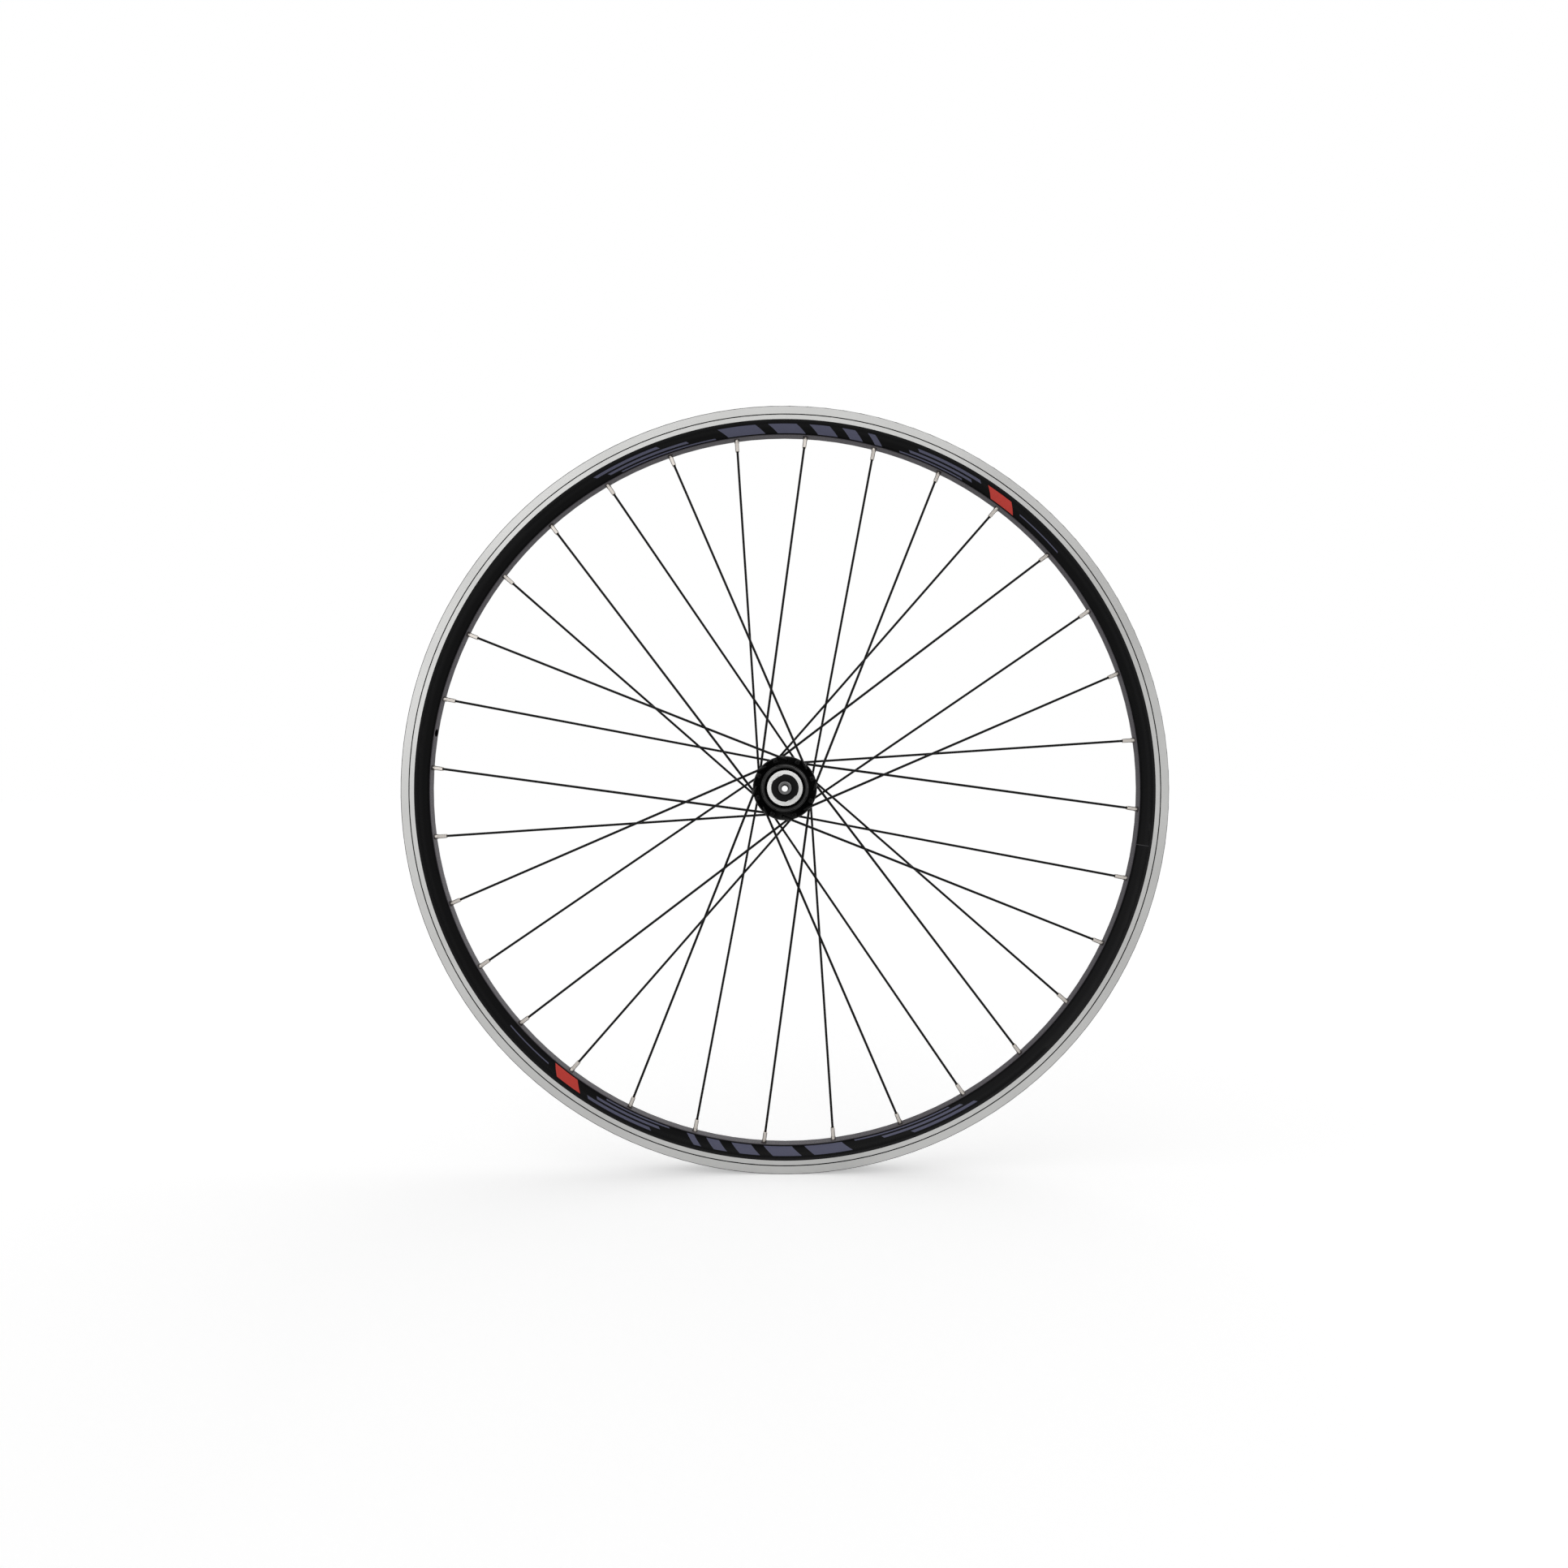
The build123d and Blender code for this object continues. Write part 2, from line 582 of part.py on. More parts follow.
def balls(count, diameter, circle_radius, place):
    """Loose balls spread evenly round the axle."""
    ball = Pos(circle_radius, place, 0) * Sphere(diameter / 2)
    return Compound(children=[around(ball, k * 360 / count) for k in range(count)])


def bearing_cup(ball_place):
    """Pressed steel cup whose race opens outwards."""
    body = ring(
        CUP_RADIUS,
        BALL_CIRCLE_RADIUS,
        ball_place - CUP_BACK + SEAT_GAP,
        ball_place + CUP_FRONT,
    )
    body -= race(ball_place, BALL_CIRCLE_RADIUS, RACE_RADIUS)
    mouth = BALL_CIRCLE_RADIUS + RACE_RADIUS
    return body - ring(mouth, THREAD_BORE_RADIUS, ball_place, ball_place + BALL_DIAMETER)


def dust_cap(ball_place, outer_radius):
    """Thin cap round the cone, with a rolled inner edge and a skirt that grips its seat."""
    start = ball_place + CAP_FROM_BALLS
    end = start + CAP_THICKNESS
    inner = LAND_RADIUS + CAP_GAP
    return turned(
        (inner, start + CAP_HOLLOW, 0),
        (outer_radius - CAP_SEAT, start + CAP_HOLLOW, 0),
        (outer_radius - CAP_SEAT, start - CAP_SKIRT, 0),
        (outer_radius, start - CAP_SKIRT, 0),
        (outer_radius, end, EDGE_ROUND),
        (inner, end, SMALL_ROUND),
    )


def freehub_core():
    """Steel core fixed to the shell: ball tracks, pawl pockets and the right bearing's race."""
    socket = CORE_SOCKET_DIAMETER / 2 - SEAT_GAP
    start = SHELL_RIGHT_END - CORE_SOCKET_DEPTH + SEAT_GAP
    collar = SHELL_RIGHT_END
    radius = CORE_RADIUS
    skirt = RIGHT_BALL_PLACE - CUP_SKIRT
    bolt_bore = BOLT_DIAMETER / 2 + SEAT_GAP
    body = turned(
        (bolt_bore, start, 0),
        (socket, start, 0),
        (socket, collar, 0),
        (radius, collar, 0),
        (radius, skirt, 0),
        (CUP_RADIUS, skirt, 0),
        (CUP_RADIUS, CORE_END, SMALL_ROUND),
        (BALL_CIRCLE_RADIUS, CORE_END, 0),
        (BALL_CIRCLE_RADIUS, BOLT_HEAD_PLACE - SEAT_GAP, 0),
        (bolt_bore, BOLT_HEAD_PLACE - SEAT_GAP, 0),
    )
    body -= race(RIGHT_BALL_PLACE, BALL_CIRCLE_RADIUS, RACE_RADIUS)
    mouth = BALL_CIRCLE_RADIUS + RACE_RADIUS
    body -= ring(mouth, THREAD_BORE_RADIUS, RIGHT_BALL_PLACE, CORE_END + BALL_DIAMETER)
    body -= core_keys(0)
    body -= driver_races()
    body -= spring_slot(CUP_RADIUS, SPRING_RADIUS - SPRING_WIRE / 2 - SPRING_ROOM)
    pocket = around(pawl_pocket(), PAWL_ANGLE)
    return body - [around(pocket, k * 360 / PAWL_COUNT) for k in range(PAWL_COUNT)]


def driver_races():
    """Tools for the two ball tracks between the core and the driver."""
    track = DRIVER_BALL_DIAMETER / 2 + RACE_GAP
    places = (INNER_ROW_PLACE, OUTER_ROW_PLACE)
    return [race(place, DRIVER_BALL_CIRCLE_RADIUS, track) for place in places]


def across_axle(face, length):
    """Prism of a face drawn as (radius, tangent), centred on the pawls, running along the axle."""
    plane = Plane(origin=(0, PAWL_PLACE, 0), x_dir=(1, 0, 0), z_dir=(0, -1, 0))
    return extrude(plane * face, length / 2, both=True)


def pawl_pocket():
    """Round socket for the pawl's heel and room for it to fold."""
    socket_radius = PAWL_PIVOT_DIAMETER / 2 + PAWL_SOCKET_GAP
    socket = Pos(PAWL_PIVOT_RADIUS, 0) * Circle(socket_radius)
    floor = PAWL_PIVOT_RADIUS - socket_radius
    tall = DRIVER_BORE_RADIUS - floor
    room = Rectangle(tall, PAWL_REACH + PAWL_POCKET_ROOM, align=(Align.MIN, Align.MIN))
    return across_axle(socket + Pos(floor, 0) * room, PAWL_LENGTH + 2 * PAWL_SOCKET_GAP)


def spring_slot(outer, inner):
    """Ring-shaped slot with room for the spring's wire."""
    half = SPRING_WIRE / 2 + SPRING_ROOM
    return ring(outer, inner, PAWL_PLACE - half, PAWL_PLACE + half)


def pawl():
    """Pawl folded below the ratchet: round heel, flat arm, square tip, notched for the spring."""
    heel = Pos(PAWL_PIVOT_RADIUS, 0) * Circle(PAWL_PIVOT_DIAMETER / 2)
    radius = PAWL_PIVOT_DIAMETER / 2
    arm = make_face(
        Polyline(
            (PAWL_PIVOT_RADIUS + radius, 0),
            (PAWL_PIVOT_RADIUS + PAWL_TIP_TOP, PAWL_REACH),
            (PAWL_PIVOT_RADIUS + PAWL_TIP_BOTTOM, PAWL_REACH),
            (PAWL_PIVOT_RADIUS - radius, 0),
            close=True,
        ).edges()
    )
    notch = spring_slot(SPRING_RADIUS + SPRING_WIRE / 2 + SPRING_ROOM, THREAD_BORE_RADIUS)
    return across_axle(heel + arm, PAWL_LENGTH) - notch


def pawl_spring():
    """Open ring of wire that lies in the core's groove, under the pawls, and lifts them."""
    wire = race(PAWL_PLACE, SPRING_RADIUS, SPRING_WIRE / 2)
    gap_width = 2 * SPRING_RADIUS * tan(radians(SPRING_GAP_ANGLE / 2))
    room = 4 * SPRING_WIRE
    gap = Pos(SPRING_RADIUS, PAWL_PLACE, 0) * Box(room, room, gap_width)
    return wire - around(gap, PAWL_ANGLE + 180 / PAWL_COUNT)


def raised_tip(lift):
    """Radius and angle of a point on the end of a pawl's tip once the pawl has swung out."""
    swing = radians(PAWL_SWING)
    out = PAWL_PIVOT_RADIUS + lift * cos(swing) + PAWL_REACH * sin(swing)
    along = PAWL_REACH * cos(swing) - lift * sin(swing)
    return hypot(out, along), degrees(atan2(along, out))


def ratchet_cut():
    """Saw-toothed opening of the driver; each steep face lies along a raised pawl's tip."""
    crest = DRIVER_BORE_RADIUS
    root = crest + RATCHET_DEPTH
    top, top_angle = raised_tip(PAWL_TIP_TOP)
    low, low_angle = raised_tip(PAWL_TIP_BOTTOM)
    slant = (top_angle - low_angle) / (top - low)
    points = []
    for k in range(RATCHET_TEETH):
        meets = PAWL_ANGLE + top_angle + TOOTH_GAP_ANGLE + k * 360 / RATCHET_TEETH
        for radius in (root, crest):
            angle = radians(meets + (radius - top) * slant)
            points.append((radius * cos(angle), radius * sin(angle)))
    face = make_face(Polyline(*points, close=True).edges())
    return across_axle(face, RATCHET_LENGTH)


def freehub_driver():
    """Splined body for the sprockets, with a shoulder, ball tracks and ratchet teeth inside."""
    outer = SPLINE_DIAMETER / 2
    bore = DRIVER_BORE_RADIUS
    shoulder_end = DRIVER_START + SHOULDER_LENGTH
    mouth_place = RIGHT_BALL_PLACE - CUP_SKIRT - DRIVER_GAP
    body = turned(
        (bore, DRIVER_START, 0),
        (SHOULDER_DIAMETER / 2, DRIVER_START, EDGE_ROUND),
        (SHOULDER_DIAMETER / 2, shoulder_end, SMALL_ROUND),
        (outer, shoulder_end, 0),
        (outer, DRIVER_END, EDGE_ROUND),
        (DRIVER_MOUTH_RADIUS, DRIVER_END, SMALL_ROUND),
        (DRIVER_MOUTH_RADIUS, mouth_place, 0),
        (bore, mouth_place, 0),
    )
    length = DRIVER_END - shoulder_end
    for k in range(SPLINE_COUNT):
        width = SPLINE_GROOVE_WIDTH if k else SPLINE_KEY_GROOVE_WIDTH
        groove = Box(2 * SPLINE_DEPTH, length, width)
        groove = Pos(outer, shoulder_end + length / 2, 0) * groove
        body -= around(groove, k * 360 / SPLINE_COUNT)
    return body - driver_races() - ratchet_cut()


def freehub_bolt():
    """Hollow bolt that clamps the core to the shell, with a hexagon socket in its head."""
    radius = BOLT_DIAMETER / 2 - SEAT_GAP
    head = BALL_CIRCLE_RADIUS - BOLT_HEAD_GAP
    start = SHELL_RIGHT_END - CORE_SOCKET_DEPTH - BOLT_THREAD_LENGTH
    head_end = BOLT_HEAD_PLACE + BOLT_HEAD_LENGTH
    body = turned(
        (BOLT_BORE / 2, start, 0),
        (radius, start, EDGE_ROUND),
        (radius, BOLT_HEAD_PLACE, 0),
        (head, BOLT_HEAD_PLACE, 0),
        (head, head_end, EDGE_ROUND),
        (BOLT_BORE / 2, head_end, 0),
    )
    socket = RegularPolygon(BOLT_HEX / 2, 6, major_radius=False)
    plane = Plane(origin=(0, head_end, 0), x_dir=(1, 0, 0), z_dir=(0, -1, 0))
    return body - extrude(plane * socket, BOLT_HEX_DEPTH)


def spacer(start, end):
    """Plain washer stack between cone and locknut."""
    return ring(SPACER_DIAMETER / 2, THREAD_BORE_RADIUS, start, end)


def cone_end(ball_place, neck):
    """Place of a cone's outer end."""
    return ball_place + RACE_RADIUS + CONE_LAND + neck


def all_parts():
    """Every piece by name, in place."""
    lacings = [Lacing(side, outside) for side, outside in SET_NAMES]
    parts = {"rim": rim(lacings), "hub_shell": hub_shell(lacings)}
    nipples = []
    for lacing in lacings:
        name = SET_NAMES[lacing.side, lacing.outside]
        first = spoke(lacing)
        first_nipple = lacing.nipple_plane() * nipple()
        for k in range(SPOKES_PER_SET):
            parts[f"{name}_{k + 1}"] = around(first, k * 4 * RIM_PITCH)
            nipples.append(around(first_nipple, k * 4 * RIM_PITCH))
    parts["spoke_nipples"] = Compound(children=nipples)

    parts["axle"] = axle()
    left_end = cone_end(LEFT_BALL_PLACE, LEFT_CONE_NECK)
    circle = BALL_CIRCLE_RADIUS
    parts["left_cone"] = on_side(cone(LEFT_BALL_PLACE, LEFT_CONE_NECK), LEFT)
    parts["right_cone"] = cone(RIGHT_BALL_PLACE, RIGHT_CONE_NECK)
    parts["left_spacer"] = on_side(spacer(left_end, LOCKNUT_PLACE), LEFT)
    parts["right_spacer"] = spacer(RIGHT_CONE_END, LOCKNUT_PLACE)
    parts["left_locknut"] = locknut().mirror(Plane.XZ)
    parts["right_locknut"] = locknut()
    parts["left_bearing_cup"] = on_side(bearing_cup(LEFT_BALL_PLACE), LEFT)
    parts["left_dust_cap"] = on_side(dust_cap(LEFT_BALL_PLACE, CUP_RADIUS), LEFT)
    parts["right_dust_cap"] = dust_cap(RIGHT_BALL_PLACE, circle + RACE_RADIUS - SEAT_GAP)
    parts["left_bearing_balls"] = balls(BALL_COUNT, BALL_DIAMETER, circle, -LEFT_BALL_PLACE)
    parts["right_bearing_balls"] = balls(BALL_COUNT, BALL_DIAMETER, circle, RIGHT_BALL_PLACE)

    parts["freehub_core"] = freehub_core()
    parts["freehub_bolt"] = freehub_bolt()
    parts["freehub_driver"] = freehub_driver()
    for name, place in (("inner", INNER_ROW_PLACE), ("outer", OUTER_ROW_PLACE)):
        row = balls(DRIVER_BALL_COUNT, DRIVER_BALL_DIAMETER, DRIVER_BALL_CIRCLE_RADIUS, place)
        parts[f"{name}_driver_balls"] = row
    for k in range(PAWL_COUNT):
        parts[f"pawl_{k + 1}"] = around(pawl(), PAWL_ANGLE + k * 360 / PAWL_COUNT)
    parts["pawl_spring"] = pawl_spring()
    return parts


if __name__ == "__main__":
    os.makedirs("parts", exist_ok=True)
    for node, shape in all_parts().items():
        export_step(shape, f"parts/{node}.step")
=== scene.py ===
import math

import bmesh
import bpy
from mathutils import Matrix, Vector


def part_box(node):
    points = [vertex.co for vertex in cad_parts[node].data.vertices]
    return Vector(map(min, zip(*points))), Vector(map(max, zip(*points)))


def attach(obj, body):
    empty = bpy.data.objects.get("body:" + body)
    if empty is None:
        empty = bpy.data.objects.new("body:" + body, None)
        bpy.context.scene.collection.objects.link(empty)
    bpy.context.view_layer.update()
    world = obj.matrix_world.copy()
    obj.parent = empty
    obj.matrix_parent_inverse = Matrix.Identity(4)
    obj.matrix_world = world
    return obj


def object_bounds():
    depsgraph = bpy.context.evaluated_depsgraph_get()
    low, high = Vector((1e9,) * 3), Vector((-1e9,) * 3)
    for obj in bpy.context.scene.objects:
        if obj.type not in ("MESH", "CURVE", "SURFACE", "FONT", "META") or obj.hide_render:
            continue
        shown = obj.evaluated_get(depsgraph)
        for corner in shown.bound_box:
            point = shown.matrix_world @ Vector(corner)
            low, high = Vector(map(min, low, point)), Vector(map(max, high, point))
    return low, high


# Rear bicycle wheel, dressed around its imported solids. Metres; the axle lies along Y, Z is up
# and the freehub is on the +Y side. Angles are degrees about the axle, from +X towards +Z.

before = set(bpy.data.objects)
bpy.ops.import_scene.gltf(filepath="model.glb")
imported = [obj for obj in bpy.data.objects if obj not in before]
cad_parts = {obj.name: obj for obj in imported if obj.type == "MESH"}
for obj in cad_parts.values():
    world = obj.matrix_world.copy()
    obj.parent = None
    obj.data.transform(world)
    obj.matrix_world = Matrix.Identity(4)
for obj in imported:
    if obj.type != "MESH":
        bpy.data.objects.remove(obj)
cad_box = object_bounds()

MM = 0.001
LEFT = -1
RIGHT = 1
SIDE_NAMES = {LEFT: "left", RIGHT: "right"}
ORIGIN = (0, 0, 0)
SHARP_ANGLE = 35

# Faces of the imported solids
RIM_HALF_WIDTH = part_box("rim")[1].y
LOCKNUT_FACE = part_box("right_locknut")[1].y
AXLE_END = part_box("axle")[1].y
DRIVER_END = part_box("freehub_driver")[1].y
FLOOR_HEIGHT = cad_box[0].z

# Rim: where its bare, painted and dull surfaces lie
TRACK_INNER_RADIUS = 305.8 * MM
# Past the track's outer radius the black runs over the lip's rounding: a painted shade line at
# the rim's outer edge
TRACK_OUTER_RADIUS = 316.35 * MM
TRACK_SKIN = 0.14 * MM
GROOVE_RADIUS = 309.9 * MM
GROOVE_WIDTH = 0.84 * MM
WELL_HALF_WIDTH = 10.4 * MM
BED_RADIUS = 295.7 * MM

# Rim's side wall: an arc between two places, each a radius and a distance from the middle plane
WALL_TOP = (304.2 * MM, 10.3 * MM)
WALL_FOOT = (295.4 * MM, 4.0 * MM)
WALL_BULGE = 1.3 * MM
# Painted shade and sheen on the wall's black: fully dark below the lower radius, fully pale
# above the upper one
PAINTED_SHEEN_TOP = WALL_TOP[0] - 2.0 * MM
PAINTED_SHEEN_FOOT = WALL_FOOT[0] + 4.0 * MM
VALVE_ANGLE = 170.955
SEAM_ANGLE = VALVE_ANGLE + 180
SEAM_HALF_ANGLE = 0.05

# Stripes: thin sheets on the side wall, with heights as shares of its arc from top to foot
STRIPE_LIFT = 0.10 * MM
STRIPE_THICKNESS = 0.05 * MM
STRIPE_STEP = 0.75
STRIPE_SEGMENTS = 4
STRIPE_SLANT = 2.2
OUTER_ROW = (0.16, 0.34)
MIDDLE_ROW = (0.46, 0.62)
INNER_ROW = (0.74, 0.84)
FINE_ROW = (0.44, 0.52)
FULL_HEIGHT = (0.16, 0.84)
SEAM_HEIGHT = (0.02, 0.98)

# One label: each stripe's two ends in degrees clockwise from the label's start, and its height
LABEL_STARTS = (121.0, 301.0)
LONG_STRIPES = (
    (0.0, 11.0, OUTER_ROW), (1.5, 15.0, MIDDLE_ROW), (3.0, 19.0, INNER_ROW),
    (49.0, 60.0, INNER_ROW), (51.0, 62.0, MIDDLE_ROW), (53.0, 64.0, OUTER_ROW),
    (71.5, 80.0, FINE_ROW),
)
BARS_START = 21.0
BAR_WIDTHS = (6.0, 4.5, 3.2, 2.1, 1.2)
BAR_GAP = 2.0
RED_BAR = (65.5, 70.0, FULL_HEIGHT)

# Threads: ridges wound round the axle's ends and inside the driver's mouth
THREAD_PITCH = 1.0 * MM
THREAD_FLANK = 0.42 * THREAD_PITCH
THREAD_STEPS = 40
THREAD_SINK = 0.05 * MM
AXLE_END_RADIUS = 4.8 * MM
AXLE_CREST_RADIUS = 4.98 * MM
AXLE_THREAD_INSET = 0.7 * MM
AXLE_THREAD_RUNOUT = 1.1 * MM
MOUTH_RADIUS = 14.875 * MM
MOUTH_THREAD_HEIGHT = 0.4 * MM
MOUTH_THREAD_DEPTH = 7.0 * MM
MOUTH_THREAD_RUNOUT = 0.9 * MM

# Teeth on the locknuts' faces: three-sided bars, flattened to their height
TOOTH_COUNT = 72
TOOTH_INNER_RADIUS = 6.3 * MM
TOOTH_OUTER_RADIUS = 9.2 * MM
TOOTH_HEIGHT = 0.16 * MM
TOOTH_SECTION_RADIUS = 0.24 * MM
TOOTH_SECTION_HEIGHT = 1.5 * TOOTH_SECTION_RADIUS
TOOTH_SINK = 0.02 * MM

# Colours of the rim, each as its dark and its pale side
TRACK_METAL = ((0.46, 0.46, 0.452), (0.55, 0.55, 0.542))
# Side wall's black: a painted shade at its foot and a painted sheen towards its top
PAINTED_SHADE_BLACK = ((0.001, 0.001, 0.0012), (0.002, 0.002, 0.0024))
PAINTED_SHEEN_BLACK = ((0.007, 0.007, 0.0074), (0.011, 0.011, 0.0115))
WELL_BLACK = ((0.024, 0.023, 0.026), (0.04, 0.038, 0.043))
# Bed: grey as a painted reflection of pale surroundings on its black
BED_PAINTED_REFLECTION_GREY = ((0.070, 0.064, 0.073), (0.100, 0.092, 0.104))

# Patterns: scales are repeats a metre, details are octaves, swings are shares up and down
NOISE_RANGE = (0.3, 0.7)
NOISE_DETAIL = 3.0
LINE_RANGE = (0.25, 0.75)
LINE_DETAIL = 2.0
TRACK_LINE_PITCH = 0.22 * MM
TRACK_STREAK = 0.04
TRACK_CLOUD_SCALE = 9.0
TRACK_CLOUD_DETAIL = 2.0
TRACK_ROUGHNESS = (0.34, 0.46)
TRACK_BUMP = 0.12
SATIN_SPECULAR = 0.08
SATIN_GRAIN_SCALE = 1400.0
SATIN_ROUGHNESS = (0.24, 0.30)
COAT_PALE_SIDE = 1.7
COAT_SWING = 0.15
COAT_BUMP_DEPTH = 0.05 * MM
METAL_GRAIN_SCALE = 900.0
METAL_GRAIN_SHARE = 0.6
METAL_STAIN_SCALE = 140.0
METAL_SWING = 0.2
METAL_BUMP = 0.1
METAL_BUMP_DEPTH = 0.03 * MM
INK_SPECULAR = 0.3
INK_MOTTLE_SCALE = 700.0
INK_DARK_SIDE = 0.86
INK_ROUGHNESS = (0.36, 0.46)

# Sockets of a Mix node when it mixes colours
MIX_FACTOR = 0
MIX_FIRST = 6
MIX_SECOND = 7
MIX_RESULT = 2

# Picture: the photograph's square frame, and where it was taken from
PHOTO_PIXELS = 1932
FOCAL_PIXELS = 1070
SENSOR = 36.0
CLIP_START = 0.01
CAMERA_PLACE = (-0.0007, -0.727, -0.0033)
CAMERA_TILT = 0.55

# Studio: lamps have a place and a strength
WHITE = (1, 1, 1, 1)
FLOOR_HALF = 30.0
FLOOR_COLOUR = (0.8, 0.8, 0.8, 1)
FLOOR_ROUGHNESS = 0.9
FLOOR_GLOW = 0.43
WORLD_LIGHT = 0.4
WORLD_SHOWN = 1.0
LAMPS = {
    "key_light": ((-0.55, -0.62, 0.56), 0.75),
    "far_light": ((0.55, 0.62, 0.56), 1.1),
}
LAMP_SPREAD = 80.0
CARD_HALF = 0.35
CARD_DISTANCE = 2.2


def opaque(colour):
    """A colour with full alpha; another node's output stays as it is."""
    return colour if isinstance(colour, bpy.types.NodeSocket) else (*colour, 1)


class Shading:
    """Nodes of a material or a world. An input is a value or another node's output."""

    def __init__(self, tree):
        self.tree = tree

    def node(self, kind, inputs=None, **settings):
        made = self.tree.nodes.new("ShaderNode" + kind)
        for key, value in settings.items():
            setattr(made, key, value)
        for key, value in (inputs or {}).items():
            self.feed(made.inputs[key], value)
        return made

    def feed(self, socket, value):
        if isinstance(value, bpy.types.NodeSocket):
            self.tree.links.new(value, socket)
        else:
            socket.default_value = value

    def math(self, operation, first, second=0.0):
        return self.node("Math", {0: first, 1: second}, operation=operation).outputs[0]

    def spread(self, value, low, high, to_low=0.0, to_high=1.0):
        """The value stretched from one range to another and kept within it."""
        inputs = {"Value": value, "From Min": low, "From Max": high}
        inputs.update({"To Min": to_low, "To Max": to_high})
        return self.node("MapRange", inputs).outputs["Result"]

    def shown(self):
        """1 for what is seen directly, in a gloss or through glass, and 0 for light."""
        light = self.node("LightPath").outputs
        shown = light["Is Camera Ray"]
        for ray in ("Is Glossy Ray", "Is Transmission Ray"):
            shown = self.math("MAXIMUM", shown, light[ray])
        return shown


class Finish(Shading):
    """A material in the making: a Principled shader and the nodes that feed it."""

    def __init__(self, name, **sockets):
        self.material = bpy.data.materials.new(name)
        self.material.use_nodes = True
        super().__init__(self.material.node_tree)
        self.shader = self.tree.nodes["Principled BSDF"]
        self.place = self.node("TexCoord").outputs["Object"]
        for socket, value in sockets.items():
            self.set(socket.replace("_", " "), value)

    def set(self, socket, value):
        self.feed(self.shader.inputs[socket], value)

    def bump(self, height, strength, depth):
        inputs = {"Height": height, "Strength": strength, "Distance": depth}
        self.set("Normal", self.node("Bump", inputs).outputs[0])

    def blend(self, factor, first, second):
        inputs = {MIX_FACTOR: factor, MIX_FIRST: opaque(first), MIX_SECOND: opaque(second)}
        return self.node("Mix", inputs, data_type="RGBA").outputs[MIX_RESULT]

    def noise(self, scale, detail=NOISE_DETAIL, place=None):
        inputs = {"Vector": place or self.place, "Scale": scale, "Detail": detail}
        return self.node("TexNoise", inputs).outputs["Fac"]

    def vary(self, noise, low=0.0, high=1.0):
        """A noise stretched so that it runs from one value to another."""
        return self.spread(noise, *NOISE_RANGE, low, high)

    def roughen(self, noise, roughness, swing):
        """A roughness that a noise moves up and down by a share of it."""
        rough = self.vary(noise, roughness * (1 - swing), roughness * (1 + swing))
        self.set("Roughness", rough)

    def axis(self, name):
        return self.node("SeparateXYZ", {0: self.place}).outputs[name]

    def radius(self):
        """Distance from the axle."""
        flat = self.node("CombineXYZ", {"X": self.axis("X"), "Z": self.axis("Z")}).outputs[0]
        return self.node("VectorMath", {0: flat}, operation="LENGTH").outputs["Value"]

    def turned_lines(self, pitch):
        """Fine rings round the axle, as a turning tool leaves them."""
        rings = self.math("MULTIPLY", self.radius(), 1 / pitch)
        along = self.math("MULTIPLY", self.axis("Y"), 1 / pitch)
        sweep = self.node("CombineXYZ", {"X": rings, "Y": along}).outputs[0]
        return self.noise(1.0, LINE_DETAIL, sweep)


def bare_track(finish, radius, across):
    """1 on the brake tracks apart from their wear groove, and 0 elsewhere."""
    from_groove = finish.math("ABSOLUTE", finish.math("SUBTRACT", radius, GROOVE_RADIUS))
    bare = finish.math("GREATER_THAN", across, RIM_HALF_WIDTH - TRACK_SKIN)
    for comparison, value, limit in (
        ("GREATER_THAN", radius, TRACK_INNER_RADIUS),
        ("LESS_THAN", radius, TRACK_OUTER_RADIUS),
        ("GREATER_THAN", from_groove, GROOVE_WIDTH / 2),
    ):
        bare = finish.math("MULTIPLY", bare, finish.math(comparison, value, limit))
    return bare


def track_metal(finish, lines):
    """Bare aluminium with turned lines and soft clouds."""
    streaks = finish.spread(lines, *LINE_RANGE, -TRACK_STREAK, TRACK_STREAK)
    clouds = finish.noise(TRACK_CLOUD_SCALE, TRACK_CLOUD_DETAIL)
    tone = finish.math("ADD", streaks, clouds)
    return finish.blend(finish.vary(tone), *TRACK_METAL)


def rim_paint(finish, radius, across, grain):
    """Black from a painted shade at the wall's foot to a painted sheen at its top, dull in the
    well, grey on the bed as a painted reflection.
    """
    # The wall's black runs from a painted shade at its foot to a painted sheen towards its top
    deep = finish.blend(grain, *PAINTED_SHADE_BLACK)
    painted_sheen = finish.blend(grain, *PAINTED_SHEEN_BLACK)
    paint = finish.blend(finish.spread(radius, PAINTED_SHEEN_FOOT, PAINTED_SHEEN_TOP), deep, painted_sheen)
    above_wall = finish.math("GREATER_THAN", radius, TRACK_INNER_RADIUS)
    between_tracks = finish.math("LESS_THAN", across, WELL_HALF_WIDTH)
    well = finish.math("MULTIPLY", above_wall, between_tracks)
    paint = finish.blend(well, paint, finish.blend(grain, *WELL_BLACK))
    # The bed's grey is a painted reflection
    bed = finish.math("LESS_THAN", radius, BED_RADIUS)
    return finish.blend(bed, paint, finish.blend(grain, *BED_PAINTED_REFLECTION_GREY))


